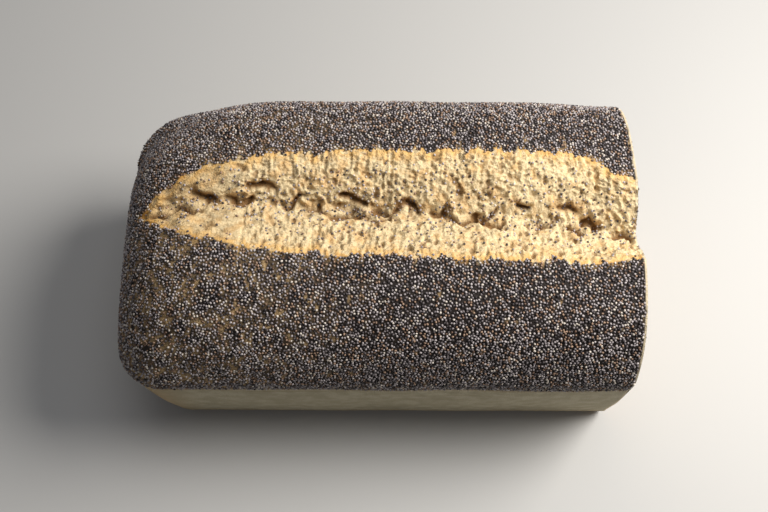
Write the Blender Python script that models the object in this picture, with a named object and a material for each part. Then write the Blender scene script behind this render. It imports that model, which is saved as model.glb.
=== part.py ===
"""A rye bread loaf from a tin: seeded dome, lengthwise split, one rounded heel and one cut end.

Metres, +Z up. +X runs along the loaf to the cut end, -Y is the long side that shows.
"""

import math
import random

import bmesh
import bpy
from mathutils import Quaternion, Vector, noise

# Driving dimensions
LENGTH = 0.224
BASE_HALF_WIDTH = 0.0595
RIM_HALF_WIDTH = 0.0647
RIM_HEIGHT_NEAR = 0.059
RIM_HEIGHT_FAR = 0.067
CROWN_HEIGHT = 0.114
CROWN_DROP = 0.006
CROWN_DROP_START = 0.045

# Rounding of the tin's edges and of the heel
BASE_EDGE_RADIUS = 0.008
TIN_CORNER_RADIUS = 0.021
HEEL_REACH = 0.057
HEEL_POWER = 2.1
HEEL_FAR_REACH = 0.072
HEEL_FAR_START = 0.1
HEEL_FAR_SPAN = 0.8
HEEL_LEAN = 0.006
HEEL_LEAN_REACH = 0.045

# How far the dough swelled over the tin's rim
RIM_SWELL = 0.0012
RIM_SWELL_ABOVE = 0.009
RIM_SWELL_SPREAD = 0.008

# Squareness of the dome's two shoulders: 2 is an ellipse, more is boxier
SHOULDER_POWER_NEAR = 2.45
SHOULDER_POWER_FAR = 2.9

# Plan of the split along the top: it opens quickly from its tip near the heel
SPLIT_START = 0.0098
SPLIT_TIP_Y = -0.0004
SPLIT_NEAR_WIDTH = 0.0271
SPLIT_NEAR_GROWTH = 0.030
SPLIT_FAR_WIDTH = 0.0250
SPLIT_FAR_GROWTH = 0.0275
SPLIT_FAR_PINCH = 0.011
SPLIT_NEAR_PINCH = 0.003
SPLIT_PINCH_REACH = 0.028
SPLIT_LEAST_HALF_WIDTH = 0.003
SPLIT_LEAST_FLANK = 0.002

# Depth of the split, and where its valley lies between the near edge, 0, and the far edge, 1
VALLEY_DEPTH = 0.013
VALLEY_GROWTH = 0.030
VALLEY_SHARE_AT_HEEL = 0.62
VALLEY_SHARE_AT_CUT = 0.46
NEAR_FLANK_POWER = 1.15
FAR_FLANK_POWER = 1.7

# Unevenness of the torn crumb in the split and of the crust
TEAR_RELIEF = 0.0016
TEAR_SCALE = 0.0075
CRUST_RELIEF = 0.0008
CRUST_SCALE = 0.035
CRUST_RELIEF_START = 0.020

# Poppy seeds fused to the crust
SEED_COUNT = 150
SEED_SIZE = (0.0015, 0.0012, 0.0011)
SEED_PROUD = 0.00015
SEED_SPACING = 0.0088
SEED_ABOVE_RIM = 0.004
SEED_FROM_EDGES = 0.002

# The larger pores of the cut face
PORE_COUNT = 24
PORE_RADIUS = (0.0016, 0.0034)
PORE_STRETCH = (1.0, 1.7)
PORE_SPACING = 0.013
PORE_FROM_WALL = 0.010
PORE_ABOVE_BASE = 0.012
PORE_BELOW_CROWN = 0.026

# Resolution of the loft: steps along the base, its edge, the wall and four spans of the dome
BASE_STEPS = 3
EDGE_STEPS = 3
WALL_STEPS = 4
DOME_STEPS = (11, 6, 8, 11)
HEEL_STATIONS = 10
BODY_STATIONS = 30

RANDOM_SEED = 11
HEEL_END = -LENGTH / 2
CUT_END = LENGTH / 2


def clear_scene():
    for obj in list(bpy.data.objects):
        bpy.data.objects.remove(obj)


def smooth(value):
    value = min(max(value, 0.0), 1.0)
    return value * value * (3 - 2 * value)


def quarter_oval(distance, reach, power=2.0):
    """0 at the end, rising along a quarter of an oval to 1 at the reach and beyond."""
    if distance >= reach:
        return 1.0
    return (1 - (1 - max(distance, 0.0) / reach) ** power) ** (1 / power)


def new_material(name, colour, roughness):
    material = bpy.data.materials.new(name)
    material.use_nodes = True
    shader = material.node_tree.nodes["Principled BSDF"]
    shader.inputs["Base Color"].default_value = (*colour, 1)
    shader.inputs["Roughness"].default_value = roughness
    shader.inputs["Metallic"].default_value = 0
    return material


def split_edges(x):
    """The near edge, the valley and the far edge of the split at this place along the loaf."""
    along = max(x - HEEL_END - SPLIT_START, 0.0)
    near = SPLIT_TIP_Y - SPLIT_NEAR_WIDTH * (1 - math.exp(-along / SPLIT_NEAR_GROWTH))
    far = SPLIT_TIP_Y + SPLIT_FAR_WIDTH * (1 - math.exp(-along / SPLIT_FAR_GROWTH))
    pinch = smooth((x - CUT_END + SPLIT_PINCH_REACH) / SPLIT_PINCH_REACH)
    near += SPLIT_NEAR_PINCH * pinch
    far -= SPLIT_FAR_PINCH * pinch
    fall = VALLEY_SHARE_AT_CUT - VALLEY_SHARE_AT_HEEL
    share = VALLEY_SHARE_AT_HEEL + fall * smooth((x - HEEL_END) / LENGTH)
    return near, near + (far - near) * share, far


def split_depth(x, y):
    """How far the torn crumb of the split lies under the dome."""
    near, valley, far = split_edges(x)
    if not near < y < far:
        return 0.0
    along = x - HEEL_END - SPLIT_START
    depth = VALLEY_DEPTH * (1 - math.exp(-along / VALLEY_GROWTH))
    if y < valley:
        flank = (y - near) / (valley - near)
        fall = math.sin(flank * math.pi / 2) ** NEAR_FLANK_POWER
    else:
        flank = (far - y) / (far - valley)
        fall = flank ** FAR_FLANK_POWER
    tear = noise.noise(Vector((x, y, 0)) / TEAR_SCALE)
    return depth * fall + TEAR_RELIEF * tear * min(1.0, 4 * flank)


def crown(x):
    """Height of the dome's ridge, which sinks towards the cut end."""
    return CROWN_HEIGHT - CROWN_DROP * smooth((x - CROWN_DROP_START) / (CUT_END - CROWN_DROP_START))


def rim_height(across):
    """Height of the tin's rim, from the near side, -1, to the far side, 1."""
    return RIM_HEIGHT_NEAR + (RIM_HEIGHT_FAR - RIM_HEIGHT_NEAR) * (1 + across) / 2


def shoulder_power(across):
    return SHOULDER_POWER_NEAR if across < 0 else SHOULDER_POWER_FAR


def heel_rise(inward, across):
    """Share of the dome's height near the heel, slower on the far side, where the dough left the corner."""
    near = quarter_oval(inward, HEEL_REACH, HEEL_POWER)
    far = math.sin(math.pi / 2 * min(inward / HEEL_FAR_REACH, 1.0))
    return near + (far - near) * smooth((across - HEEL_FAR_START) / HEEL_FAR_SPAN)


def dome_turns(x, rim):
    """Angles over the dome, with lines of the mesh along the split's edges and valley."""
    near, valley, far = split_edges(x)
    near = min(near, SPLIT_TIP_Y - SPLIT_LEAST_HALF_WIDTH)
    far = max(far, SPLIT_TIP_Y + SPLIT_LEAST_HALF_WIDTH)
    valley = min(max(valley, near + SPLIT_LEAST_FLANK), far - SPLIT_LEAST_FLANK)
    stops = [0.0]
    for y in (near, valley, far):
        stops.append(math.acos(-math.copysign((abs(y) / rim) ** (shoulder_power(y) / 2), y)))
    stops.append(math.pi)
    turns = []
    for start, end, steps in zip(stops, stops[1:], DOME_STEPS):
        turns += [start + (end - start) * i / steps for i in range(steps)]
    return turns + [math.pi]


def base_and_wall(side, base, rim, floor):
    """Half of the tin's section, from the middle of the base up to the rim of one side."""
    half = []
    for i in range(BASE_STEPS):
        half.append((side * (base - BASE_EDGE_RADIUS) * i / BASE_STEPS, floor))
    for i in range(EDGE_STEPS + 1):
        turn = math.pi / 2 * i / EDGE_STEPS
        y = base - BASE_EDGE_RADIUS * (1 - math.sin(turn))
        half.append((side * y, floor + BASE_EDGE_RADIUS * (1 - math.cos(turn))))
    low = floor + BASE_EDGE_RADIUS
    for i in range(1, WALL_STEPS):
        share = i / WALL_STEPS
        y = base + (rim - base) * math.sin(share * math.pi / 2)
        half.append((side * y, low + (rim_height(side) - low) * share))
    return half


def section(x):
    """The loaf's outline across, as (y, z) from the middle of the base round by the near side."""
    inward = x - HEEL_END
    corner = TIN_CORNER_RADIUS * (1 - quarter_oval(inward, TIN_CORNER_RADIUS))
    floor = BASE_EDGE_RADIUS * (1 - quarter_oval(inward, BASE_EDGE_RADIUS))
    base = BASE_HALF_WIDTH - corner
    rim = RIM_HALF_WIDTH - corner
    points = base_and_wall(-1, base, rim, floor)
    for turn in dome_turns(x, rim):
        across = -math.cos(turn)
        power = shoulder_power(across)
        y = rim * math.copysign(abs(across) ** (2 / power), across)
        rise = heel_rise(inward, across)
        lift = abs(math.sin(turn)) ** (2 / power) * rise
        start = rim_height(across)
        z = start + (crown(x) - start) * lift
        over = (z - start - RIM_SWELL_ABOVE) / RIM_SWELL_SPREAD
        y += math.copysign(RIM_SWELL * math.exp(-over * over) * rise, across)
        points.append((y, z - split_depth(x, y)))
    return points + base_and_wall(1, base, rim, floor)[:0:-1]


def surface_point(x, y, z):
    """A point of a section, leaned as the tin's end is, and made slightly uneven above the base."""
    near_heel = 1 - smooth((x - HEEL_END) / HEEL_LEAN_REACH)
    lean = HEEL_LEAN * (1 - min(z / RIM_HEIGHT_NEAR, 1.0)) * near_heel
    uneven = CRUST_RELIEF * smooth(z / CRUST_RELIEF_START) * noise.noise(Vector((x, y, z)) / CRUST_SCALE)
    outward = Vector((0, y, max(z - RIM_HEIGHT_NEAR, 0))).normalized()
    return Vector((x + lean, y, z)) + outward * uneven


def stations():
    """Places of the sections: close together round the heel, then even to the cut."""
    heel = [HEEL_END + HEEL_REACH * (1 - math.cos(math.pi / 2 * i / HEEL_STATIONS))
            for i in range(HEEL_STATIONS)]
    body_start = HEEL_END + HEEL_REACH
    step = (CUT_END - body_start) / BODY_STATIONS
    return heel + [body_start + step * i for i in range(BODY_STATIONS + 1)]


def make_body():
    """Lofts the sections and closes the heel's wall and the cut face."""
    mesh = bmesh.new()
    rings = []
    for x in stations():
        rings.append([mesh.verts.new(surface_point(x, y, z)) for y, z in section(x)])
    for first, second in zip(rings, rings[1:]):
        count = len(first)
        for i in range(count):
            j = (i + 1) % count
            mesh.faces.new((first[i], second[i], second[j], first[j]))
    mesh.faces.new(rings[0])
    mesh.faces.new(list(reversed(rings[-1])))
    bmesh.ops.triangulate(mesh, faces=mesh.faces[:])
    bmesh.ops.recalc_face_normals(mesh, faces=mesh.faces[:])
    data = bpy.data.meshes.new("loaf")
    mesh.to_mesh(data)
    mesh.free()
    data.materials.append(new_material("rye_crust", (0.30, 0.22, 0.12), 0.8))
    body = bpy.data.objects.new("loaf", data)
    collection = bpy.data.collections.new("rye_bread_loaf")
    bpy.context.scene.collection.children.link(collection)
    collection.objects.link(body)
    return body


def far_apart(place, others, spacing):
    return all((place - other).length > spacing for other in others)


def is_seeded(place):
    """Seeds lie over the dome down to the rim, but not in the split or by the cut's edge."""
    near, _, far = split_edges(place.x)
    above_rim = place.z > rim_height(place.y / RIM_HALF_WIDTH) + SEED_ABOVE_RIM
    in_split = near - SEED_FROM_EDGES < place.y < far + SEED_FROM_EDGES
    return above_rim and place.x < CUT_END - SEED_FROM_EDGES and not in_split


def seed_places(body, draw):
    """Points of the seeded crust, evenly spread, with their normals."""
    faces = [face for face in body.data.polygons if is_seeded(face.center)]
    areas = [face.area for face in faces]
    spots = []
    normals = []
    while len(spots) < SEED_COUNT:
        face = draw.choices(faces, areas)[0]
        corners = [body.data.vertices[i].co for i in face.vertices]
        first, second = sorted((draw.random(), draw.random()))
        place = corners[0] * first + corners[1] * (second - first) + corners[2] * (1 - second)
        if far_apart(place, spots, SEED_SPACING):
            spots.append(place)
            normals.append(face.normal.copy())
    return zip(spots, normals)


def new_collection(name):
    collection = bpy.data.collections.new(name)
    bpy.context.scene.collection.children.link(collection)
    return collection


def ball_mesh(name, radius, stretch):
    """A ball of 20 faces, stretched along its axes."""
    mesh = bmesh.new()
    bmesh.ops.create_icosphere(mesh, subdivisions=1, radius=radius)
    bmesh.ops.scale(mesh, vec=stretch, verts=mesh.verts)
    data = bpy.data.meshes.new(name)
    mesh.to_mesh(data)
    mesh.free()
    return data


def make_seeds(body, draw):
    """A collection of seeds, half sunk in the crust."""
    collection = new_collection("poppy_seeds")
    data = ball_mesh("poppy_seed", 0.5, SEED_SIZE)
    for index, (place, normal) in enumerate(seed_places(body, draw)):
        seed = bpy.data.objects.new(f"poppy_seed_{index}", data)
        seed.location = place + normal * SEED_PROUD
        seed.rotation_mode = "QUATERNION"
        turn = Quaternion(normal, draw.uniform(0, math.pi))
        seed.rotation_quaternion = turn @ normal.to_track_quat("Z", "X")
        collection.objects.link(seed)
    return collection


def pore_places(draw):
    """Spots of the larger pores on the cut face, well inside its crust."""
    width = RIM_HALF_WIDTH - PORE_FROM_WALL
    spots = []
    while len(spots) < PORE_COUNT:
        height = draw.uniform(PORE_ABOVE_BASE, CROWN_HEIGHT - PORE_BELOW_CROWN)
        place = Vector((CUT_END, draw.uniform(-width, width), height))
        if far_apart(place, spots, PORE_SPACING):
            spots.append(place)
    return spots


def make_pores(draw):
    """A collection of cutters that hollow the larger pores out of the cut face."""
    collection = new_collection("pore_cutters")
    for index, place in enumerate(pore_places(draw)):
        data = ball_mesh(f"pore_{index}", draw.uniform(*PORE_RADIUS), (1, 1, draw.uniform(*PORE_STRETCH)))
        cutter = bpy.data.objects.new(f"pore_{index}", data)
        cutter.location = place
        cutter.rotation_euler = (draw.uniform(0, math.pi), 0, 0)
        cutter.hide_render = True
        cutter.display_type = "WIRE"
        collection.objects.link(cutter)
    return collection


def apply_collection(body, collection, operation):
    """Applies one Boolean with every object of a collection, then removes them."""
    modifier = body.modifiers.new(collection.name, "BOOLEAN")
    modifier.operation = operation
    modifier.operand_type = "COLLECTION"
    modifier.collection = collection
    modifier.solver = "MANIFOLD"
    graph = bpy.context.evaluated_depsgraph_get()
    result = bpy.data.meshes.new_from_object(body.evaluated_get(graph))
    body.modifiers.remove(modifier)
    body.data = result
    for obj in list(collection.objects):
        bpy.data.objects.remove(obj)
    bpy.data.collections.remove(collection)


def centre_over_base(body):
    """Puts the middle of the loaf's box over the origin, with its base on Z = 0."""
    corners = [vertex.co for vertex in body.data.vertices]
    low = Vector(min(corner[axis] for corner in corners) for axis in range(3))
    high = Vector(max(corner[axis] for corner in corners) for axis in range(3))
    offset = Vector((-(low.x + high.x) / 2, -(low.y + high.y) / 2, -low.z))
    for vertex in body.data.vertices:
        vertex.co += offset
    body.data.update()


def main():
    clear_scene()
    draw = random.Random(RANDOM_SEED)
    body = make_body()
    seeds = make_seeds(body, draw)
    pores = make_pores(draw)
    apply_collection(body, pores, "DIFFERENCE")
    apply_collection(body, seeds, "UNION")
    centre_over_base(body)
    body.data.set_sharp_from_angle(angle=math.radians(40))


main()
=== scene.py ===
"""Looks of a rye loaf from a tin: crust, torn split, cut crumb and poppy seeds. Metres, +Z up."""

import math

import bmesh
import bpy
import numpy as np
from mathutils import Matrix, Vector, noise


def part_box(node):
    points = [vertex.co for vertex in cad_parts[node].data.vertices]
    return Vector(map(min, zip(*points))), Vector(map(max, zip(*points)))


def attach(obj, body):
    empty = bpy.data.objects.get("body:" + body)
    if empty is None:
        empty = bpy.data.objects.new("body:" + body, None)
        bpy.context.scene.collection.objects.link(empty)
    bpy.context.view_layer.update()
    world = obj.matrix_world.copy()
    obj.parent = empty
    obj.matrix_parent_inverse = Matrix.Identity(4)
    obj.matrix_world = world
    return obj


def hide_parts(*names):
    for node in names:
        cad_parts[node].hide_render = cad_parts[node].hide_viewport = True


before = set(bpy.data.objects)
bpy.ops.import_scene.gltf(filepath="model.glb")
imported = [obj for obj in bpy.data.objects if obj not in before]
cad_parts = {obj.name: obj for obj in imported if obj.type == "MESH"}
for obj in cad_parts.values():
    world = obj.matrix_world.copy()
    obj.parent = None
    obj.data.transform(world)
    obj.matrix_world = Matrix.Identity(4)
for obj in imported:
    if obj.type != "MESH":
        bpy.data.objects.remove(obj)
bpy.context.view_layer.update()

# The loaf's form, with the same named sizes as its solid
LENGTH = 0.224
BASE_HALF_WIDTH = 0.0595
RIM_HALF_WIDTH = 0.0647
RIM_HEIGHT_NEAR = 0.059
RIM_HEIGHT_FAR = 0.067
CROWN_HEIGHT = 0.114
CROWN_DROP = 0.006
CROWN_DROP_START = 0.045
BASE_EDGE_RADIUS = 0.008
TIN_CORNER_RADIUS = 0.021
HEEL_REACH = 0.057
HEEL_POWER = 2.1
HEEL_FAR_REACH = 0.072
HEEL_FAR_START = 0.1
HEEL_FAR_SPAN = 0.8
HEEL_LEAN = 0.006
HEEL_LEAN_REACH = 0.045
RIM_SWELL = 0.0012
RIM_SWELL_ABOVE = 0.009
RIM_SWELL_SPREAD = 0.008
SHOULDER_POWER_NEAR = 2.45
SHOULDER_POWER_FAR = 2.9
SPLIT_START = 0.0098
SPLIT_TIP_Y = -0.0004
SPLIT_NEAR_WIDTH = 0.0271
SPLIT_NEAR_GROWTH = 0.030
SPLIT_FAR_WIDTH = 0.0250
SPLIT_FAR_GROWTH = 0.0275
SPLIT_FAR_PINCH = 0.011
SPLIT_NEAR_PINCH = 0.003
SPLIT_PINCH_REACH = 0.028
SPLIT_LEAST_HALF_WIDTH = 0.003
SPLIT_LEAST_FLANK = 0.002
VALLEY_DEPTH = 0.013
VALLEY_GROWTH = 0.030
VALLEY_SHARE_AT_HEEL = 0.62
VALLEY_SHARE_AT_CUT = 0.46
NEAR_FLANK_POWER = 1.15
FAR_FLANK_POWER = 1.7
TEAR_RELIEF = 0.0016
TEAR_SCALE = 0.0075
CRUST_RELIEF = 0.0008
CRUST_SCALE = 0.035
CRUST_RELIEF_START = 0.020
HEEL_END = -LENGTH / 2
CUT_END = LENGTH / 2

# Fineness of the crust: columns round half the tin and the four spans of the dome, rows along,
# and the centre that the heel closes on
BASE_COLUMNS = 6
EDGE_COLUMNS = 6
WALL_COLUMNS = 14
DOME_COLUMNS = (30, 60, 84, 30)
CAP_ROWS = 8
HEEL_ROWS = 52
BODY_ROWS = 322
CAP_CENTRE_HEIGHT = 0.036
CAP_CENTRE_SHARE = 1e-3

# Torn crumb: strands on the split's flanks, crags in its valley, fine grit and open pores
STRAND_RELIEF = 0.0011
STRAND_WIDTH = 0.0017
STRAND_LENGTH = 0.010
CRAG_RELIEF = 0.0012
CRAG_SCALE = 0.0034
GRIT_RELIEF = 0.0006
GRIT_SCALE = 0.0011
SPLIT_PORES = 1500
SPLIT_PORE_RADIUS = 0.00032
SPLIT_PORES_NEAR = -0.028
SPLIT_PORES_FAR = 0.027
PORE_SHADE_DEPTH = 0.0010

# Crevices: broken, bent lines beside the split's valley, each with its offset and its own noise
CREVICE_DEPTH = 0.0032
CREVICE_SHADE_DEPTH = 0.0025
CREVICE_WIDTH = 0.0010
CREVICE_WIDTH_SCALE = 0.0032
CREVICE_BREAK_SCALE = 0.0085
CREVICE_BEND = 0.0040
CREVICE_BEND_SCALE = 0.0065
CREVICE_OFFSETS = (0.0008, -0.0032, 0.0042)
CREVICE_SHIFTS = (3.7, 18.2, 31.6)

# The crust's jagged edge beside the split, and the golden crumb next to it
EDGE_WOBBLE = 0.0032
EDGE_WOBBLE_SCALE = 0.0052
EDGE_TOOTH_SCALE = 0.0020
EDGE_SHIFTS = (11.3, 47.9)
EDGE_BLEND = 0.0006
EDGE_SLOPE = 0.0040
EDGE_FROM_TIP = 0.0005
GOLDEN_REACH = 0.0060
GOLDEN_TIP_REACH = 0.060

# Where seeds have come off, in patches near the heel and thinly over most of the dome
PATCH_SCALE = 0.0060
PATCH_GRAIN = 0.0019
PATCH_END_X = 0.01
PATCH_REACH_X = 0.09
PATCH_END_Y = 0.012
PATCH_REACH_Y = 0.03
THIN_SCALE = 0.0045
THIN_END_X = 0.03
THIN_REACH_X = 0.10
SEEDS_LOST = 0.88

# Plain sides from the tin, toasted at the heel, below the rim and along the base
TIN_LINE_DROP = 0.0012
TIN_LINE_BLEND = 0.0016
TOASTED_HEEL = 0.035
TOASTED_RIM = 0.005
TOASTED_BASE = 0.012

# The strip of crumb that shows past the crust at the cut
CUT_MARGIN = 0.0008
CUT_WOBBLE = 0.0006
CUT_WOBBLE_SCALE = 0.0040
CUT_BLEND = 0.0003

# The cut face: its fineness, pores, uneven crumb and the thin crust round it
FACE_COLUMNS = 300
FACE_ROWS = 215
OUTLINE_STEPS = 900
FACE_PORES = 2400
FACE_PORES_LOWEST = 0.002
FACE_PORE_RADIUS = 0.00034
FACE_PORE_DEPTH = 0.75
FACE_PORE_WARP = 0.00055
FACE_PORE_WARP_SCALE = 0.0022
FACE_GRIT = 0.00034
FACE_GRIT_SCALE = 0.0011
FACE_WAVE = 0.0004
FACE_WAVE_SCALE = 0.0032
FACE_RIM = 0.0006
FACE_RIM_BLEND = 0.0016
BASE_CRUST_HEIGHT = 0.010
CRUST_LINE_START = 0.0002
CRUST_LINE = 0.0006
CRUST_LINE_AT_BASE = 0.0018
BAKED_START = 0.001
BAKED_REACH = 0.003
BAKED_REACH_AT_BASE = 0.006

# Poppy seeds, packed on the crust and loose in the crumb
SEED_SPACING = 0.00096
SEED_TRIES = 190000
SEED_LENGTH = 0.00128
SEED_LENGTH_SPREAD = 0.07
SEED_PROPORTIONS = (1.0, 0.80, 0.74)
SEED_BEND = 0.35
SEED_TILT = 0.35
SEED_LIFT = 0.32
SEED_KINDS = ("slate", "black", "brown", "pale")
SEED_SHARES = (0.43, 0.25, 0.22, 0.10)
SEED_INTO_SPLIT = 0.0002
SEED_OFF_CUT = 0.0003
SEED_LINE_WOBBLE = 0.0012
SEED_LINE_SCALE = 0.004
SPLIT_SEEDS = 1300
SPLIT_CLUMP_SCALE = 0.0050
FACE_SEEDS = 1700
FACE_CLUMP_SCALE = 0.0060
FACE_SEED_MARGIN = 0.0013
LOOSE_SEED_SPACING = 0.0012
LOOSE_SEED_SINK = 0.0001

# The photograph's view, with angles in degrees, and the pale light all round
CAMERA_LENS = 45.8
CAMERA_PLACE = (0.0048, -0.1922, 0.4689)
CAMERA_TILT = 25.0
CAMERA_ROLL = 0.2
SKY_COLOUR = (0.9, 0.93, 1.0, 1.0)
SKY_STRENGTH = 0.13

draw = np.random.default_rng(24)


def tint(red, green, blue):
    """A linear colour from one read off, each part 0 to 255."""
    return tuple((part / 255) ** 2.2 for part in (red, green, blue)) + (1.0,)


class Socket:
    """An output socket. Arithmetic on it adds Math nodes to its material."""

    def __init__(self, finish, socket):
        self.finish = finish
        self.socket = socket

    def math(self, operation, first, second):
        return self.finish.node("ShaderNodeMath", {"operation": operation}, {0: first, 1: second})

    def __add__(self, other):
        return self.math("ADD", self, other)

    def __mul__(self, other):
        return self.math("MULTIPLY", self, other)

    __radd__ = __add__
    __rmul__ = __mul__

    def between(self, low, high):
        """0 below low, 1 above high, smooth between."""
        limits = {"Value": self, "From Min": low, "From Max": high}
        return self.finish.node("ShaderNodeMapRange", {"interpolation_type": "SMOOTHSTEP"}, limits)


class Finish:
    """A material round one Principled shader."""

    def __init__(self, name, roughness):
        self.material = bpy.data.materials.new(name)
        self.material.use_nodes = True
        self.tree = self.material.node_tree
        self.shader = self.tree.nodes["Principled BSDF"]
        self.feed("Roughness", roughness)

    def put(self, socket, value):
        if isinstance(value, Socket):
            self.tree.links.new(value.socket, socket)
        else:
            socket.default_value = value

    def node(self, kind, settings, sockets, output=0):
        """Adds a node: its settings first, then the values or links of its sockets."""
        node = self.tree.nodes.new(kind)
        for name, value in settings.items():
            setattr(node, name, value)
        for name, value in sockets.items():
            self.put(node.inputs[name], value)
        return Socket(self, node.outputs[output])

    def feed(self, name, value):
        self.put(self.shader.inputs[name], value)

    def painted(self, name):
        """A value stored on the mesh's points."""
        return self.node("ShaderNodeAttribute", {"attribute_name": name}, {}, "Fac")

    def place(self, stretch=(1, 1, 1)):
        """The place on the loaf, in metres, stretched along its axes."""
        spot = self.node("ShaderNodeTexCoord", {}, {}, "Object")
        return self.node("ShaderNodeVectorMath", {"operation": "MULTIPLY"}, {0: spot, 1: stretch})

    def grain(self, size, detail=2.0, stretch=(1, 1, 1)):
        """Smooth noise from 0 to 1 with features of this size in metres."""
        sockets = {"Vector": self.place(stretch), "Scale": 1 / size, "Detail": detail}
        return self.node("ShaderNodeTexNoise", {}, sockets)

    def mix(self, share, first, second):
        """A colour between two, by a share from 0 to 1."""
        return self.node("ShaderNodeMix", {"data_type": "RGBA"}, {0: share, 6: first, 7: second}, 2)

    def bump(self, height, depth):
        sockets = {"Height": height, "Distance": depth, "Strength": 1.0}
        self.feed("Normal", self.node("ShaderNodeBump", {}, sockets))


def smooth(value):
    """0 below 0, 1 above 1, smooth between."""
    value = np.clip(value, 0.0, 1.0)
    return value * value * (3 - 2 * value)


def quarter_oval(distance, reach, power=2.0):
    """0 at the end, rising along a quarter of an oval to 1 at the reach and beyond."""
    return (1 - (1 - np.clip(distance / reach, 0.0, 1.0)) ** power) ** (1 / power)


def wander(points, scale, shift=0.0):
    """Smooth noise from about -1 to 1 at each point, with features of this size. The shift varies it."""
    spots = np.asarray(points, dtype=float) / scale + shift
    values = [noise.noise(Vector(spot)) for spot in spots.reshape(-1, 3)]
    return np.array(values).reshape(spots.shape[:-1])


def flat_points(x, y):
    """Points at height 0."""
    x, y = np.broadcast_arrays(x, y)
    return np.stack([x, y, np.zeros_like(x)], axis=-1)


def split_edges(x):
    """The near edge, the valley and the far edge of the split along the loaf."""
    along = np.maximum(x - HEEL_END - SPLIT_START, 0.0)
    near = SPLIT_TIP_Y - SPLIT_NEAR_WIDTH * (1 - np.exp(-along / SPLIT_NEAR_GROWTH))
    far = SPLIT_TIP_Y + SPLIT_FAR_WIDTH * (1 - np.exp(-along / SPLIT_FAR_GROWTH))
    pinch = smooth((x - CUT_END + SPLIT_PINCH_REACH) / SPLIT_PINCH_REACH)
    near = near + SPLIT_NEAR_PINCH * pinch
    far = far - SPLIT_FAR_PINCH * pinch
    fall = VALLEY_SHARE_AT_CUT - VALLEY_SHARE_AT_HEEL
    share = VALLEY_SHARE_AT_HEEL + fall * smooth((x - HEEL_END) / LENGTH)
    return near, near + (far - near) * share, far


def flank_of(x, y):
    """0 at the split's edges and outside, 1 in its valley."""
    near, valley, far = split_edges(x)
    near_side = (y - near) / np.maximum(valley - near, 1e-6)
    far_side = (far - y) / np.maximum(far - valley, 1e-6)
    return np.clip(np.where(y < valley, near_side, far_side), 0.0, 1.0)


def split_depth(x, y):
    """How far the torn crumb of the split lies under the dome."""
    valley = split_edges(x)[1]
    flank = flank_of(x, y)
    along = np.maximum(x - HEEL_END - SPLIT_START, 0.0)
    depth = VALLEY_DEPTH * (1 - np.exp(-along / VALLEY_GROWTH))
    near_fall = np.sin(flank * np.pi / 2) ** NEAR_FLANK_POWER
    fall = np.where(y < valley, near_fall, flank ** FAR_FLANK_POWER)
    tear = wander(flat_points(x, y), TEAR_SCALE)
    return depth * fall + TEAR_RELIEF * tear * np.minimum(1.0, 4 * flank)


def crown(x):
    """Height of the dome's ridge, which sinks towards the cut end."""
    return CROWN_HEIGHT - CROWN_DROP * smooth((x - CROWN_DROP_START) / (CUT_END - CROWN_DROP_START))


def rim_height(across):
    """Height of the tin's rim, from the near side, -1, to the far side, 1."""
    return RIM_HEIGHT_NEAR + (RIM_HEIGHT_FAR - RIM_HEIGHT_NEAR) * (1 + across) / 2


def shoulder_power(across):
    """How square the dome's shoulder is, on the near and the far side."""
    return np.where(across < 0, SHOULDER_POWER_NEAR, SHOULDER_POWER_FAR)


def heel_rise(inward, across):
    """Share of the dome's height near the heel, slower on the far side."""
    near = quarter_oval(inward, HEEL_REACH, HEEL_POWER)
    far = np.sin(np.pi / 2 * np.clip(inward / HEEL_FAR_REACH, 0.0, 1.0))
    return near + (far - near) * smooth((across - HEEL_FAR_START) / HEEL_FAR_SPAN)


def dome_turns(x, rim):
    """Angles over the dome, with columns along the split's edges and valley."""
    near, valley, far = split_edges(x)
    near = np.minimum(near, SPLIT_TIP_Y - SPLIT_LEAST_HALF_WIDTH)
    far = np.maximum(far, SPLIT_TIP_Y + SPLIT_LEAST_HALF_WIDTH)
    valley = np.clip(valley, near + SPLIT_LEAST_FLANK, far - SPLIT_LEAST_FLANK)
    stops = [np.zeros_like(x)]
    for y in (near, valley, far):
        stops.append(np.arccos(-np.copysign((np.abs(y) / rim) ** (shoulder_power(y) / 2), y)))
    stops.append(np.full_like(x, np.pi))
    turns = []
    for start, end, count in zip(stops, stops[1:], DOME_COLUMNS):
        turns.append(start + (end - start) * np.arange(count) / count)
    return np.hstack(turns + [stops[-1]])


def base_and_wall(side, base, rim, floor):
    """Half of the tin's section, from the middle of the base up to the rim of one side."""
    flat = (base - BASE_EDGE_RADIUS) * np.arange(BASE_COLUMNS) / BASE_COLUMNS
    turn = np.linspace(0, np.pi / 2, EDGE_COLUMNS + 1)
    low = floor + BASE_EDGE_RADIUS
    share = np.arange(1, WALL_COLUMNS) / WALL_COLUMNS
    y = np.hstack([
        flat,
        base - BASE_EDGE_RADIUS * (1 - np.sin(turn)),
        base + (rim - base) * np.sin(share * np.pi / 2),
    ])
    z = np.hstack([
        floor + 0 * flat,
        floor + BASE_EDGE_RADIUS * (1 - np.cos(turn)),
        low + (rim_height(side) - low) * share,
    ])
    return side * y, z


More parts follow.
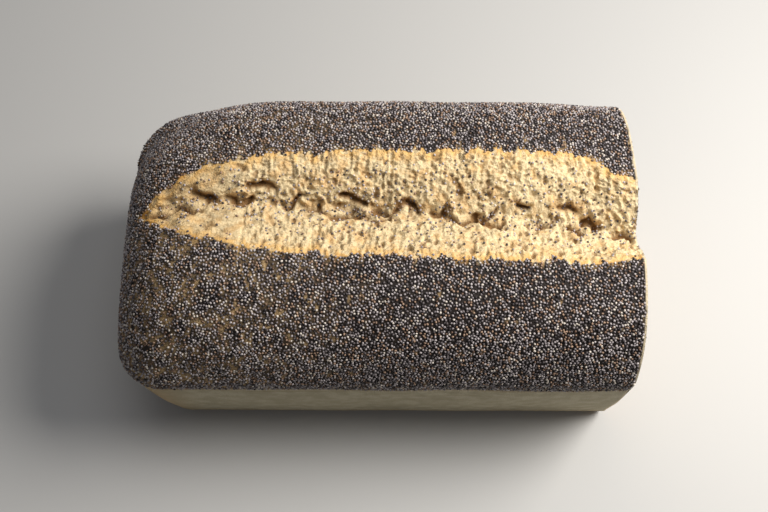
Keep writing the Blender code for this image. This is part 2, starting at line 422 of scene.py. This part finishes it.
def section(x):
    """Outlines across the loaf at each x, from the middle of the base round by the near side."""
    inward = x - HEEL_END
    corner = TIN_CORNER_RADIUS * (1 - quarter_oval(inward, TIN_CORNER_RADIUS))
    floor = BASE_EDGE_RADIUS * (1 - quarter_oval(inward, BASE_EDGE_RADIUS))
    base = BASE_HALF_WIDTH - corner
    rim = RIM_HALF_WIDTH - corner
    turn = dome_turns(x, rim)
    across = -np.cos(turn)
    power = shoulder_power(across)
    y = rim * np.copysign(np.abs(across) ** (2 / power), across)
    rise = heel_rise(inward, across)
    lift = np.abs(np.sin(turn)) ** (2 / power) * rise
    start = rim_height(across)
    z = start + (crown(x) - start) * lift
    over = (z - start - RIM_SWELL_ABOVE) / RIM_SWELL_SPREAD
    y = y + np.copysign(RIM_SWELL * np.exp(-over * over) * rise, across)
    z = z - split_depth(x, y)
    near_y, near_z = base_and_wall(-1, base, rim, floor)
    far_y, far_z = base_and_wall(1, base, rim, floor)
    return np.hstack([near_y, y, far_y[:, :0:-1]]), np.hstack([near_z, z, far_z[:, :0:-1]])


def surface_points(x, y, z):
    """Points of the sections, leaned as the tin's end is, and slightly uneven above the base."""
    near_heel = 1 - smooth((x - HEEL_END) / HEEL_LEAN_REACH)
    lean = HEEL_LEAN * (1 - np.minimum(z / RIM_HEIGHT_NEAR, 1.0)) * near_heel
    x = np.broadcast_to(x, y.shape)
    level = wander(np.stack([x, y, z], axis=-1), CRUST_SCALE)
    uneven = CRUST_RELIEF * smooth(z / CRUST_RELIEF_START) * level
    outward = unit(np.stack([0 * y, y, np.maximum(z - RIM_HEIGHT_NEAR, 0)], axis=-1))
    return np.stack([x + lean, y, z], axis=-1) + outward * uneven[..., None]


def unit(vectors):
    """The same directions at length 1."""
    return vectors / np.maximum(np.linalg.norm(vectors, axis=-1, keepdims=True), 1e-12)


def rows_along():
    """Places of the sections along the loaf, closer together round the heel."""
    turn = np.pi / 2 * np.arange(HEEL_ROWS) / HEEL_ROWS
    heel = HEEL_END + HEEL_REACH * (1 - np.cos(turn))
    return np.hstack([heel, np.linspace(HEEL_END + HEEL_REACH, CUT_END, BODY_ROWS)])[:, None]


def grid_faces(rows, columns, closed):
    """Quads of a grid of points, closed round its columns or not."""
    last = columns if closed else columns - 1
    row, column = np.meshgrid(np.arange(rows - 1), np.arange(last), indexing="ij")
    beside = (column + 1) % columns
    corners = [row * columns + column, (row + 1) * columns + column,
               (row + 1) * columns + beside, row * columns + beside]
    return np.stack(corners, axis=-1).reshape(-1, 4)


def closed_normals(points):
    """Outward normals of a grid of points that is closed round its columns."""
    round_it = np.roll(points, -1, axis=1) - np.roll(points, 1, axis=1)
    return unit(np.cross(np.gradient(points, axis=0), round_it))


def new_piece(name, points, faces, finish, paint):
    """A smooth mesh piece with values painted on its points, riding on the loaf."""
    data = bpy.data.meshes.new(name)
    data.from_pydata(points.reshape(-1, 3).tolist(), [], faces.tolist())
    for label, values in paint.items():
        layer = data.attributes.new(label, "FLOAT", "POINT")
        layer.data.foreach_set("value", np.asarray(values, dtype=np.float32).ravel())
    data.shade_smooth()
    data.materials.append(finish.material)
    piece = bpy.data.objects.new(name, data)
    bpy.context.scene.collection.objects.link(piece)
    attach(piece, "root")
    return piece


def pits(points, centres, radii, stretch, turns):
    """Depth of oval pits over flat points, each as deep as its radius at its centre."""
    depth = np.zeros(points.shape[:-1])
    for centre, radius, long, turn in zip(centres, radii, stretch, turns):
        reach = radius * long
        close = np.all(np.abs(points - centre) < reach, axis=-1)
        if not close.any():
            continue
        offset = points[close] - centre
        along = offset[:, 0] * math.cos(turn) + offset[:, 1] * math.sin(turn)
        beside = offset[:, 1] * math.cos(turn) - offset[:, 0] * math.sin(turn)
        left = 1 - (along / reach) ** 2 - (beside / radius) ** 2
        bowl = radius * np.sqrt(np.maximum(left, 0.0))
        depth[close] = np.maximum(depth[close], bowl)
    return depth


def crevices(x, y):
    """Depth of the broken, narrow tears along the split's valley."""
    valley = split_edges(x)[1]
    line = flat_points(x, 0 * x)
    depth = np.zeros(np.broadcast(x, y).shape)
    for shift, offset in zip(CREVICE_SHIFTS, CREVICE_OFFSETS):
        bend = CREVICE_BEND * wander(line, CREVICE_BEND_SCALE, shift)
        broken = smooth((wander(line, CREVICE_BREAK_SCALE, shift + 5) + 0.06) / 0.30)
        width = CREVICE_WIDTH * (1.1 + 0.9 * wander(line, CREVICE_WIDTH_SCALE, shift + 9))
        across = (y - valley - offset - bend) / width
        depth = np.maximum(depth, CREVICE_DEPTH * broken * np.exp(-across * across))
    return depth


def split_pores(x, y):
    """Depth of the open pores over the split."""
    low = (HEEL_END + SPLIT_START, SPLIT_PORES_NEAR)
    high = (CUT_END, SPLIT_PORES_FAR)
    spots = draw.uniform(low, high, (SPLIT_PORES, 2))
    radii = SPLIT_PORE_RADIUS * draw.uniform(0.05, 1.0, SPLIT_PORES) ** -0.5
    stretch = draw.uniform(1.0, 1.8, SPLIT_PORES)
    turns = draw.uniform(0.9, 2.2, SPLIT_PORES)
    return pits(np.stack([x, y], axis=-1), spots, radii, stretch, turns)


def bare_patches(places):
    """1 where most seeds have come off and the crust shows, above all by the heel's near side."""
    patchy = 0.6 * wander(places, PATCH_SCALE, 7.7) + wander(places, PATCH_GRAIN, 3.3)
    by_heel = smooth((PATCH_END_X - places[..., 0]) / PATCH_REACH_X)
    by_heel = by_heel * smooth((PATCH_END_Y - places[..., 1]) / PATCH_REACH_Y)
    return smooth((patchy - 0.64 + 0.56 * by_heel) / 0.22)


def cut_margin(places):
    """How far in from the cut the crumb shows past the crust."""
    return CUT_MARGIN + CUT_WOBBLE * wander(places, CUT_WOBBLE_SCALE, 8.8)


def inside_split(x, y):
    """Distance in from the split's edges, which tore unevenly; below 0 on the crust."""
    near, _, far = split_edges(x)
    line = flat_points(x, 0 * x)
    reach = []
    for shift in EDGE_SHIFTS:
        uneven = wander(line, EDGE_WOBBLE_SCALE, shift) + 1.1 * wander(line, EDGE_TOOTH_SCALE, shift)
        reach.append(EDGE_WOBBLE * np.maximum(uneven + 0.2, 0.0))
    from_tip = x - HEEL_END - SPLIT_START - EDGE_FROM_TIP
    return np.minimum(np.minimum(y - near - reach[0], far - reach[1] - y), from_tip)


def close_heel(points, x, y, z):
    """Adds the rows that close the heel, from its first outline in to a centre."""
    shrink = (np.arange(CAP_ROWS) / CAP_ROWS + CAP_CENTRE_SHARE)[:, None]
    lean = HEEL_LEAN * (1 - CAP_CENTRE_HEIGHT / RIM_HEIGHT_NEAR)
    centre = np.array([HEEL_END + lean, 0.0, CAP_CENTRE_HEIGHT])
    points = np.vstack([centre + (points[:1] - centre) * shrink[..., None], points])
    x = np.vstack([np.full((CAP_ROWS, 1), HEEL_END), x])
    y = np.vstack([y[:1] * shrink, y])
    z = np.vstack([CAP_CENTRE_HEIGHT + (z[:1] - CAP_CENTRE_HEIGHT) * shrink, z])
    return points, x, y, z


def torn_roughness(points, crags, flank):
    """Relief of the strands on the split's flanks, the crags in its valley and the grit."""
    strand_size = (STRAND_WIDTH, STRAND_LENGTH, STRAND_LENGTH)
    strands = 0.6 - 2 * np.abs(wander(points, strand_size, 5.1))
    rough = STRAND_RELIEF * strands * (1 - flank) + CRAG_RELIEF * crags * (0.25 + flank)
    return rough + GRIT_RELIEF * wander(points, GRIT_SCALE, 2.6)


def crust_paint(points, x, y, z):
    """Where the crust is plain from the tin, bare of seeds, toasted or at the cut."""
    above_rim = z - rim_height(y / RIM_HALF_WIDTH)
    thinly = smooth(0.4 + 2.2 * wander(points, THIN_SCALE, 5.9))
    thinly = thinly * smooth((THIN_END_X - x) / THIN_REACH_X)
    by_heel = smooth((HEEL_END + TOASTED_HEEL - x) / TOASTED_HEEL)
    under_rim = 0.6 * smooth(1 + above_rim / TOASTED_RIM)
    by_base = 1 - smooth(z / TOASTED_BASE)
    return {
        "tin": 1 - smooth((above_rim + TIN_LINE_DROP) / TIN_LINE_BLEND),
        "bare": np.maximum(bare_patches(points), 0.35 * thinly),
        "toasted": np.maximum(np.maximum(by_heel, under_rim), by_base),
        "cut": smooth((x - CUT_END + cut_margin(points)) / CUT_BLEND),
    }


def make_crust():
    """The crust with its torn split: points, normals, place on the split's flanks and paint."""
    x = rows_along()
    y, z = section(x)
    points, x, y, z = close_heel(surface_points(x, y, z), x, y, z)
    normals = closed_normals(points)
    wide = np.broadcast_to(x, y.shape)
    top = z > RIM_HEIGHT_NEAR
    flank = np.where(top, flank_of(wide, y), 0.0)
    inside = inside_split(wide, y)
    torn = np.where(top, smooth(inside / EDGE_BLEND + 0.5), 0.0)
    deep = smooth(inside / EDGE_SLOPE)
    crags = 0.5 - 2 * np.abs(wander(points, CRAG_SCALE, 9.4))
    pores = split_pores(wide, y) * deep
    tears = crevices(x, y) * deep
    rough = torn_roughness(points, crags, flank)
    relief = torn * (rough * (0.6 + 0.4 * deep) - 0.9 * pores - tears)
    points = points + normals * relief[..., None]
    by_edge = np.where(top, 1 - smooth(inside / GOLDEN_REACH), 0.0)
    by_tip = smooth((HEEL_END + GOLDEN_TIP_REACH - wide) / GOLDEN_TIP_REACH)
    # Painted shade: the torn crumb darkens with the depth of its pores and crevices, and in the low
    # crags of the flanks
    hollow = smooth(pores / PORE_SHADE_DEPTH) * 0.7 + smooth(tears / CREVICE_SHADE_DEPTH)
    paint = crust_paint(points, wide, y, z)
    paint["torn"] = torn
    paint["golden"] = by_edge * smooth(0.75 + 1.6 * crags) + 0.5 * by_tip
    paint["hollow"] = hollow + 0.5 * smooth(-crags - 0.1) * flank
    return points, normals, flank, paint


def loaf_offset():
    """From the sections' own middle to the middle of the loaf's box."""
    return np.array([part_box("loaf")[1][0] - CUT_END, 0.0, 0.0])


def crust_finish():
    """Seeded crust with painted shade between its seeds, torn crumb with painted shade in its pores,
    crevices and low crags, and the plain sides that the tin baked.
    """
    finish = Finish("rye_crust", 0.8)
    mottle = finish.grain(0.006, detail=4)
    speckle = finish.grain(0.0009, detail=3)
    tan = finish.mix(speckle.between(0.35, 0.65), tint(150, 120, 80), tint(200, 170, 124))
    # Crust between the seeds: dark, partly its own baked brown and partly painted shade between the
    # seeds; tan where seeds have come off
    seed_crust_and_shade = finish.mix(finish.painted("bare") * 0.9, tint(38, 30, 26), tan)
    cream = finish.mix(speckle.between(0.35, 0.65), tint(210, 185, 140), tint(236, 214, 170))
    golden = finish.mix(mottle.between(0.4, 0.65), tint(218, 162, 80), tint(236, 192, 114))
    crumb = finish.mix(finish.painted("golden") * 0.8, cream, golden)
    crumb = finish.mix(mottle.between(0.48, 0.66) * 0.45, crumb, tint(210, 156, 84))
    # Painted shade in the pores, crevices and low crags of the torn crumb
    crumb = finish.mix(finish.painted("hollow"), crumb, tint(138, 103, 62))
    wall_lines = finish.grain(0.02, detail=3, stretch=(0.25, 0.25, 6))
    wall = finish.mix(mottle.between(0.35, 0.7), tint(174, 163, 134), tint(191, 181, 153))
    wall = finish.mix(wall_lines.between(0.55, 0.75) * 0.5, wall, tint(150, 132, 98))
    toasted = finish.painted("toasted") * (0.6 + 0.4 * mottle.between(0.25, 0.6))
    wall = finish.mix(toasted * 0.75, wall, tint(172, 130, 68))
    colour = finish.mix(finish.painted("torn"), seed_crust_and_shade, crumb)
    colour = finish.mix(finish.painted("tin"), colour, wall)
    finish.feed("Base Color", finish.mix(finish.painted("cut") * 0.9, colour, tint(232, 214, 178)))
    finish.feed("Roughness", 0.72 + 0.2 * speckle)
    finish.bump(speckle + 0.6 * mottle, depth=0.0006)
    return finish


def make_loaf(points, paint):
    """The crust all round but for the cut end, in place of the plain solid."""
    rows, columns = points.shape[:2]
    faces = grid_faces(rows, columns, True)
    piece = new_piece("loaf_crust", points, faces, crust_finish(), paint)
    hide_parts("loaf")


def evenly(curve, count):
    """Points at even steps along a line of points."""
    steps = np.linalg.norm(np.diff(curve, axis=0), axis=1)
    length = np.hstack([0, np.cumsum(steps)])
    marks = np.linspace(0, length[-1], count)
    return np.stack([np.interp(marks, length, values) for values in curve.T], axis=-1)


def face_grid(outline):
    """A grid of (y, z) points over the cut face, fitted to its outline."""
    columns = outline.shape[0]
    corner = BASE_COLUMNS + EDGE_COLUMNS
    rim = corner + WALL_COLUMNS - 1
    bottom = evenly(np.vstack([outline[corner::-1], outline[:columns - corner - 1:-1]]), FACE_COLUMNS)
    left = evenly(outline[corner:rim + 1], FACE_ROWS)
    top = evenly(outline[rim:columns - rim + 1], FACE_COLUMNS)
    right = evenly(outline[columns - corner:columns - rim - 1:-1], FACE_ROWS)
    across = np.linspace(0, 1, FACE_COLUMNS)[None, :, None]
    up = np.linspace(0, 1, FACE_ROWS)[:, None, None]
    ruled = (1 - up) * bottom + up * top
    ruled = ruled + (1 - across) * left[:, None] + across * right[:, None]
    low = (1 - across) * bottom[0] + across * bottom[-1]
    high = (1 - across) * top[0] + across * top[-1]
    return ruled - (1 - up) * low - up * high


def outline_distance(places, outline):
    """Distance from each place to the nearest point of the outline."""
    distance = np.full(places.shape[:-1], 1.0)
    for spot in evenly(outline, OUTLINE_STEPS):
        distance = np.minimum(distance, np.linalg.norm(places - spot, axis=-1))
    return distance


def face_pores(places):
    """Depth of the pores over the cut face, small ones the most."""
    low = (-RIM_HALF_WIDTH, FACE_PORES_LOWEST)
    high = (RIM_HALF_WIDTH, CROWN_HEIGHT)
    spots = draw.uniform(low, high, (FACE_PORES, 2))
    radii = FACE_PORE_RADIUS * draw.uniform(0.05, 1.0, FACE_PORES) ** -0.55
    stretch = draw.uniform(1.0, 1.9, FACE_PORES)
    turns = draw.uniform(0, np.pi, FACE_PORES)
    flat = flat_points(places[..., 0], places[..., 1])
    warp = [wander(flat, FACE_PORE_WARP_SCALE, shift) for shift in (1.5, 8.2)]
    return pits(places + FACE_PORE_WARP * np.stack(warp, axis=-1), spots, radii, stretch, turns)


def crumb_finish():
    """Cut crumb: cream, with painted shade in its pores and a thin crust round it."""
    finish = Finish("cut_crumb", 0.85)
    speckle = finish.grain(0.0008, detail=3)
    mottle = finish.grain(0.007, detail=3)
    flecks = finish.grain(0.0022)
    cream = finish.mix(speckle.between(0.38, 0.62), tint(178, 154, 118), tint(226, 208, 178))
    cream = finish.mix(mottle.between(0.45, 0.7) * 0.5, cream, tint(196, 162, 112))
    cream = finish.mix(flecks.between(0.64, 0.70) * 0.6, cream, tint(216, 150, 88))
    cream = finish.mix(finish.painted("baked") * 0.6, cream, tint(222, 172, 96))
    # Painted shade in the pores of the cut face
    cream = finish.mix(finish.painted("pore_depth_and_shade") * 0.75, cream, tint(156, 124, 80))
    finish.feed("Base Color", finish.mix(finish.painted("crust_line"), cream, tint(190, 134, 68)))
    finish.bump(speckle + 0.5 * flecks, depth=0.0006)
    return finish


def make_crumb_face(outline, offset):
    """The cut end, which closes the crust: its points and their distance from its edge."""
    places = face_grid(outline)
    edge = outline_distance(places, outline)
    inner = smooth((edge - FACE_RIM) / FACE_RIM_BLEND)
    pore_depth_and_shade = face_pores(places) * inner
    flat = flat_points(places[..., 0], places[..., 1])
    grit = wander(flat, FACE_GRIT_SCALE, 6.6) * FACE_GRIT
    grit = grit + wander(flat, FACE_WAVE_SCALE, 1.1) * FACE_WAVE
    x = CUT_END - FACE_PORE_DEPTH * pore_depth_and_shade + grit * inner
    points = np.stack([x, places[..., 0], places[..., 1]], axis=-1)
    at_base = places[..., 1] < BASE_CRUST_HEIGHT
    line = np.where(at_base, CRUST_LINE_AT_BASE, CRUST_LINE)
    baked = np.where(at_base, BAKED_REACH_AT_BASE, BAKED_REACH)
    paint = {
        # Painted shade in the pores, by their depth
        "pore_depth_and_shade": smooth(pore_depth_and_shade / PORE_SHADE_DEPTH),
        "crust_line": 1 - smooth((edge - CRUST_LINE_START) / line),
        "baked": 1 - smooth((edge - BAKED_START) / baked),
    }
    faces = grid_faces(FACE_ROWS, FACE_COLUMNS, False)[:, ::-1]
    piece = new_piece("crumb_face", points + offset, faces, crumb_finish(), paint)
    return points, edge


def seeds_keep(places):
    """Which places on the crust keep their seed: the dome down to the rim, outside the split."""
    x, y, z = places.T
    inside = inside_split(x, y)
    above_rim = z - rim_height(y / RIM_HALF_WIDTH)
    lowest = SEED_LINE_WOBBLE * wander(places, SEED_LINE_SCALE, 4.2)
    stuck = draw.uniform(0, 1, len(places)) > SEEDS_LOST * bare_patches(places)
    before_cut = x < CUT_END - cut_margin(places) - SEED_OFF_CUT
    return (inside < SEED_INTO_SPLIT) & (above_rim > lowest) & stuck & before_cut


def scatter(places, spacing):
    """Indices of places that lie no nearer than the spacing to one kept before."""
    kept = []
    cells = {}
    steps = [(i, j, k) for i in (-1, 0, 1) for j in (-1, 0, 1) for k in (-1, 0, 1)]
    for index, (x, y, z) in enumerate(places.tolist()):
        cell = (int(x // spacing), int(y // spacing), int(z // spacing))
        free = True
        for i, j, k in steps:
            other = cells.get((cell[0] + i, cell[1] + j, cell[2] + k))
            if other and (x - other[0]) ** 2 + (y - other[1]) ** 2 + (z - other[2]) ** 2 < spacing ** 2:
                free = False
                break
        if free:
            kept.append(index)
            cells[cell] = (x, y, z)
    return np.array(kept)


def places_on(points, normals, weights, count, closed):
    """Random places on a grid of points by area and weight, with their normals."""
    after = np.roll(points, -1, axis=1) if closed else points[:, 1:]
    here = points if closed else points[:, :-1]
    across = after[:-1] - here[:-1]
    along = here[1:] - here[:-1]
    area = np.linalg.norm(np.cross(across, along), axis=-1)
    share = area * weights[:area.shape[0], :area.shape[1]]
    picked = draw.choice(share.size, count, p=share.ravel() / share.sum())
    row, column = np.unravel_index(picked, share.shape)
    moves = draw.uniform(0, 1, (2, count, 1))
    places = here[row, column] + moves[0] * across[row, column] + moves[1] * along[row, column]
    return places, normals[row, column]


def seed_shape():
    """Points and faces of one small ball of 20 faces, bent like a kidney."""
    mesh = bmesh.new()
    bmesh.ops.create_icosphere(mesh, subdivisions=1, radius=0.5)
    points = np.array([vert.co[:] for vert in mesh.verts])
    faces = np.array([[vert.index for vert in face.verts] for face in mesh.faces])
    mesh.free()
    points[:, 2] += SEED_BEND * points[:, 0] ** 2 - 0.04
    return points * SEED_PROPORTIONS, faces


def seed_finish(kind):
    """Poppy seeds of one kind, each seed in its own tone."""
    dark, light = {
        "slate": (tint(118, 110, 112), tint(198, 189, 188)),
        "black": (tint(54, 49, 51), tint(112, 104, 104)),
        "brown": (tint(104, 80, 66), tint(176, 146, 122)),
        "pale": (tint(172, 162, 150), tint(232, 221, 208)),
    }[kind]
    finish = Finish(f"{kind}_poppy_seed", 0.5)
    finish.feed("Base Color", finish.mix(finish.painted("tone"), dark, light))
    finish.feed("Roughness", 0.38 + 0.25 * finish.grain(0.0004))
    finish.bump(finish.grain(0.00018), depth=0.00005)
    return finish


def make_seeds(places, normals):
    """Poppy seeds at these places, one piece for each kind."""
    count = len(places)
    shape, shape_faces = seed_shape()
    up = unit(normals + SEED_TILT * draw.normal(0, 1, (count, 3)))
    ahead = unit(np.cross(up, draw.normal(0, 1, (count, 3))))
    axes = np.stack([ahead, np.cross(up, ahead), up], axis=1)
    size = SEED_LENGTH * draw.normal(1.0, SEED_LENGTH_SPREAD, (count, 1)).clip(0.8, 1.2)
    lift = SEED_LENGTH * draw.uniform(0.0, SEED_LIFT, (count, 1))
    tone = draw.uniform(0, 1, count)
    kinds = draw.choice(len(SEED_KINDS), count, p=SEED_SHARES)
    for number, kind in enumerate(SEED_KINDS):
        own = kinds == number
        bodies = np.einsum("vi,nij->nvj", shape, axes[own]) * size[own][:, None]
        bodies += (places[own] + normals[own] * lift[own])[:, None]
        starts = np.arange(own.sum())[:, None, None] * len(shape)
        faces = (shape_faces + starts).reshape(-1, 3)
        paint = {"tone": np.repeat(tone[own], len(shape))}
        piece = new_piece(f"{kind}_poppy_seeds", bodies, faces, seed_finish(kind), paint)


def seeds_on_crust(points, normals, tin):
    """Seeds packed over the dome, above the plain sides from the tin."""
    dome = np.where(tin < 0.99, 1.0, 0.0)
    places, ups = places_on(points, normals, dome, SEED_TRIES, True)
    keep = seeds_keep(places)
    places, ups = places[keep], ups[keep]
    kept = scatter(places, SEED_SPACING)
    return places[kept], ups[kept]


def seeds_in_split(points, normals, torn, flank):
    """Seeds that show in the torn crumb, more of them down in the valley."""
    clumps = smooth(0.5 + wander(points, SPLIT_CLUMP_SCALE, 6.1))
    weight = torn * (0.08 + flank ** 2) * clumps
    places, ups = places_on(points, normals, weight, SPLIT_SEEDS, True)
    kept = scatter(places, LOOSE_SEED_SPACING)
    return places[kept] - ups[kept] * LOOSE_SEED_SINK, ups[kept]


def seeds_in_face(points, edge):
    """Seeds cut or bared by the knife, over the cut end."""
    ups = np.broadcast_to(np.array([1.0, 0.0, 0.0]), points.shape)
    clumps = smooth(0.55 + wander(points, FACE_CLUMP_SCALE, 6.1))
    weight = np.where(edge > FACE_SEED_MARGIN, clumps, 0.0)
    places, ups = places_on(points, ups, weight, FACE_SEEDS, False)
    kept = scatter(places, LOOSE_SEED_SPACING)
    return places[kept] - ups[kept] * LOOSE_SEED_SINK, ups[kept]


def soft_light(name, place, aim, size, power, colour):
    """A round area light at a place, turned to its aim."""
    data = bpy.data.lights.new(name, "AREA")
    data.shape = "DISK"
    data.size = size
    data.energy = power
    data.color = colour
    light = bpy.data.objects.new(name, data)
    light.location = place
    light.rotation_euler = (Vector(aim) - Vector(place)).to_track_quat("-Z", "Y").to_euler()
    bpy.context.scene.collection.objects.link(light)


def make_studio():
    """A pale floor and soft light, most of it from above the cut end."""
    finish = Finish("pale_floor", 0.6)
    finish.feed("Base Color", tint(196, 195, 192))
    bpy.ops.mesh.primitive_plane_add(size=30)
    floor = bpy.context.object
    floor.name = "floor"
    floor.data.materials.append(finish.material)
    soft_light(
        "window", place=(0.47, 0.09, 0.56), aim=(0.02, 0, 0.05),
        size=0.42, power=6.7, colour=(1.0, 0.965, 0.92),
    )
    soft_light(
        "overhead", place=(0.1, 0.2, 1.3), aim=(0, 0, 0.05),
        size=0.8, power=2.4, colour=(0.98, 0.98, 1.0),
    )
    world = bpy.data.worlds.new("studio")
    world.use_nodes = True
    sky = world.node_tree.nodes["Background"]
    sky.inputs["Color"].default_value = SKY_COLOUR
    sky.inputs["Strength"].default_value = SKY_STRENGTH
    bpy.context.scene.world = world
    bpy.context.scene.view_settings.view_transform = "Standard"


def make_camera():
    """The photograph's view: from above, a little to the near side."""
    data = bpy.data.cameras.new("camera")
    data.lens = CAMERA_LENS
    camera = bpy.data.objects.new("camera", data)
    tilt = Matrix.Rotation(math.radians(CAMERA_TILT), 3, "X")
    roll = Matrix.Rotation(math.radians(CAMERA_ROLL), 3, "Z")
    camera.location = CAMERA_PLACE
    camera.rotation_euler = (tilt @ roll).to_euler()
    bpy.context.scene.collection.objects.link(camera)
    bpy.context.scene.camera = camera


def main():
    points, normals, flank, paint = make_crust()
    offset = loaf_offset()
    make_loaf(points + offset, paint)
    face, edge = make_crumb_face(points[-1][:, 1:], offset)
    groups = [
        seeds_on_crust(points, normals, paint["tin"]),
        seeds_in_split(points, normals, paint["torn"], flank),
        seeds_in_face(face, edge),
    ]
    places = np.vstack([group[0] for group in groups])
    ups = np.vstack([group[1] for group in groups])
    make_seeds(places + offset, ups)
    make_studio()
    make_camera()


main()
